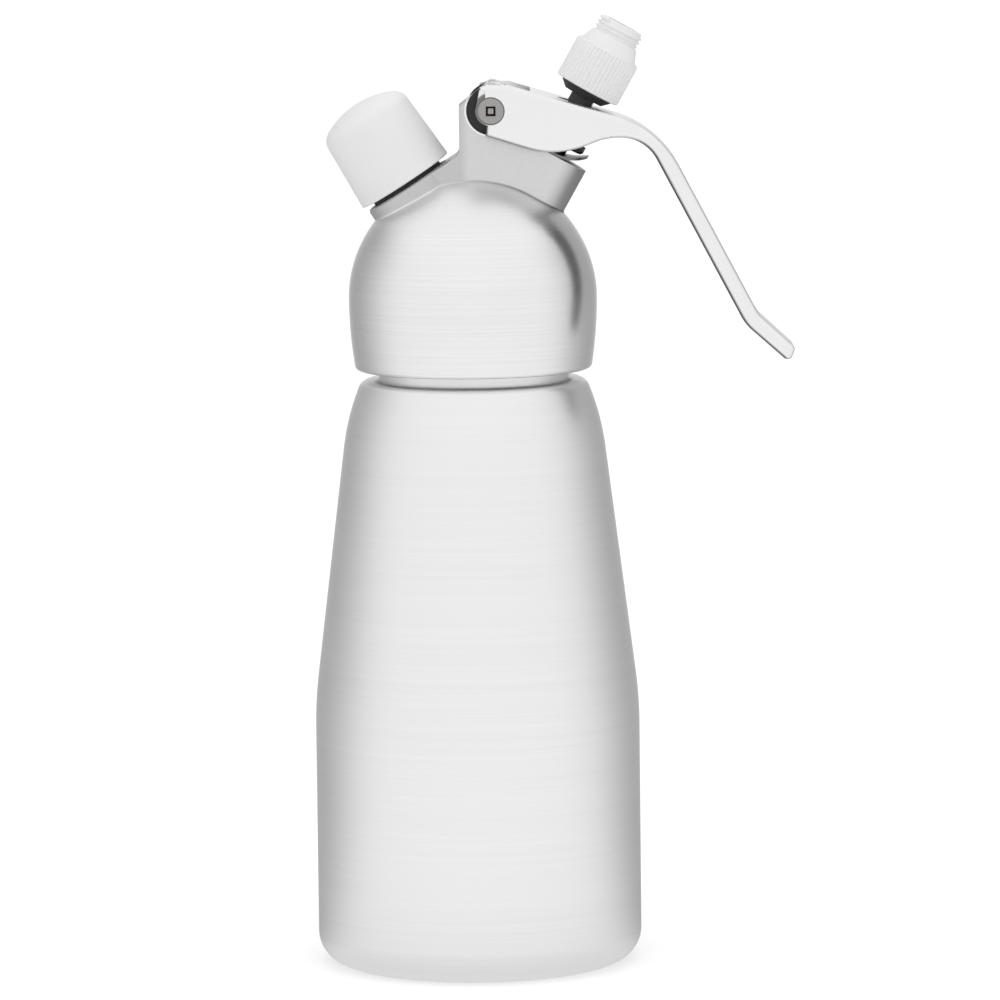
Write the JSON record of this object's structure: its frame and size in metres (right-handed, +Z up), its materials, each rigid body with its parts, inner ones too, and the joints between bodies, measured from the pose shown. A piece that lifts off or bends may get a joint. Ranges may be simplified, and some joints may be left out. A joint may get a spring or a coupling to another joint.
{
  "type": "whipped cream dispenser",
  "caption": "Bottle-shaped whipped cream dispenser with a domed screw-on head, squeeze lever, slanted outlet valve with tip thread and slanted capped gas inlet.",
  "frame": {"origin": "centre of the flat base, on the surface that the bottle stands on", "axes": "+Z up along the bottle's axis, +X towards the lever and the outlet, -X towards the gas inlet, and the XZ plane is the plane of symmetry"},
  "size_m": [0.1187, 0.08, 0.2342],
  "materials": {
    "black_plastic": "moulded",
    "black_rubber": "moulded",
    "brass": "turned",
    "brushed_aluminium": "brushed across, satin",
    "cast_aluminium": "cast and tumbled, satin",
    "polished_aluminium": "cast and polished",
    "silicone": "translucent grey",
    "spring_steel": "bright",
    "steel": "turned",
    "white_plastic": "moulded, satin"
  },
  "bodies": {
    "bottle": {"bottle": "brushed_aluminium"},
    "head_seal": {"head_gasket": "silicone"},
    "head": {"head": "cast_aluminium", "head_skirt": "cast_aluminium", "inlet_tube": "cast_aluminium", "inner_bosses": "cast_aluminium", "valve_seat": "steel", "stem_guide_bush": "white_plastic", "pivot_bushes": "black_plastic", "spring_washer": "spring_steel", "piercing_pin_holder": "brass", "piercing_pin": "steel", "charger_seal": "black_rubber", "check_valve": "black_rubber", "inlet_retainer": "brass"},
    "lever": {"lever": "polished_aluminium", "pivot_screw": "steel", "pivot_barrel": "steel"},
    "valve_stem": {"valve_stem": "black_plastic", "valve_seal": "black_rubber", "stem_orings": "black_rubber", "thrust_sleeve": "black_plastic"},
    "adapter_seal": {"adapter_gasket": "black_rubber"},
    "tip_adapter": {"tip_adapter": "white_plastic"},
    "cap_seal": {"cap_gasket": "black_rubber"},
    "cap": {"cap": "white_plastic"}
  },
  "joints": [
    {"name": "head_lift", "type": "slide", "parent": "bottle", "child": "head_seal", "axis": [0, 0, 1], "range_m": [0, 0.012]},
    {"name": "head_turn", "type": "hinge", "parent": "head_seal", "child": "head", "pos_m": [0, 0, 0.15717], "axis": [0, 0, 1], "range_deg": [0, 1080]},
    {"name": "lever_pivot", "type": "hinge", "parent": "head", "child": "lever", "pos_m": [0.0049, 0, 0.21117], "axis": [0, 1, 0], "range_deg": [0, 7], "stiffness_Nm_per_rad": 0.5, "springref_deg": -11.46},
    {"name": "stem_slide", "type": "slide", "parent": "head", "child": "valve_stem", "axis": [-0.4909, 0, -0.8712], "range_m": [0, 0.0024], "deforming": ["spring_washer"]},
    {"name": "adapter_lift", "type": "slide", "parent": "valve_stem", "child": "adapter_seal", "axis": [0.4909, 0, 0.8712], "range_m": [0, 0.00375]},
    {"name": "adapter_turn", "type": "hinge", "parent": "adapter_seal", "child": "tip_adapter", "pos_m": [0.02852, 0, 0.21548], "axis": [0.4909, 0, 0.8712], "range_deg": [0, 1080]},
    {"name": "cap_turn", "type": "hinge", "parent": "head", "child": "cap_seal", "pos_m": [-0.01558, 0, 0.19273], "axis": [-0.5373, 0, 0.8434], "range_deg": [0, 1080]},
    {"name": "cap_lift", "type": "slide", "parent": "cap_seal", "child": "cap", "axis": [-0.5373, 0, 0.8434], "range_m": [0, 0.009]}
  ],
  "couplings": [
    {"joint": "head_lift", "follows": "head_turn", "m_per_rad": 0.00063662},
    {"joint": "stem_slide", "follows": "lever_pivot", "m_per_rad": 0.019},
    {"joint": "adapter_lift", "follows": "adapter_turn", "m_per_rad": 0.00019894},
    {"joint": "cap_lift", "follows": "cap_turn", "m_per_rad": 0.00047746}
  ]
}
